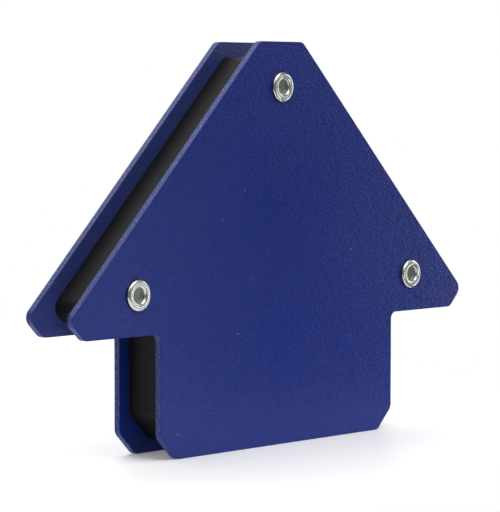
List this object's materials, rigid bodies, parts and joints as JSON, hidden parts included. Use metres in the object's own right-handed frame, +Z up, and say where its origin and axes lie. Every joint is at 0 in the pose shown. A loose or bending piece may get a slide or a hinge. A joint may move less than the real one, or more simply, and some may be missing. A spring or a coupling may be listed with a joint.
{
  "type": "welding magnet holder",
  "caption": "Arrow-shaped magnetic welding holder: steel pole plates riveted over a recessed black core of ferrite magnets.",
  "frame": {"origin": "middle of the foot: centre of the bounding box in X and Y, and the plane the lower plate edges stand on", "axes": "+Z up towards the apex, +X along the arms to the right, +Y through the thickness from the front plate (rolled rivet ends) to the rear plate (factory rivet heads)"},
  "size_m": [0.1184, 0.0146, 0.0825],
  "materials": {
    "blue_powder_coat": "dark blue powder coat on sheet steel, fine leather texture, satin gloss",
    "black_moulding": "injection-moulded black plastic, satin",
    "ferrite": "ground sintered ferrite, dull dark grey",
    "zinc_plated_steel": "bright zinc-plated steel, slightly worn where it was rolled"
  },
  "bodies": {
    "root": {"front_plate": "blue_powder_coat", "rear_plate": "blue_powder_coat", "spacer_frame": "black_moulding", "magnet_left": "ferrite", "magnet_right": "ferrite", "magnet_apex": "ferrite", "rivet_top": "zinc_plated_steel", "rivet_left": "zinc_plated_steel", "rivet_right": "zinc_plated_steel"}
  },
  "joints": []
}
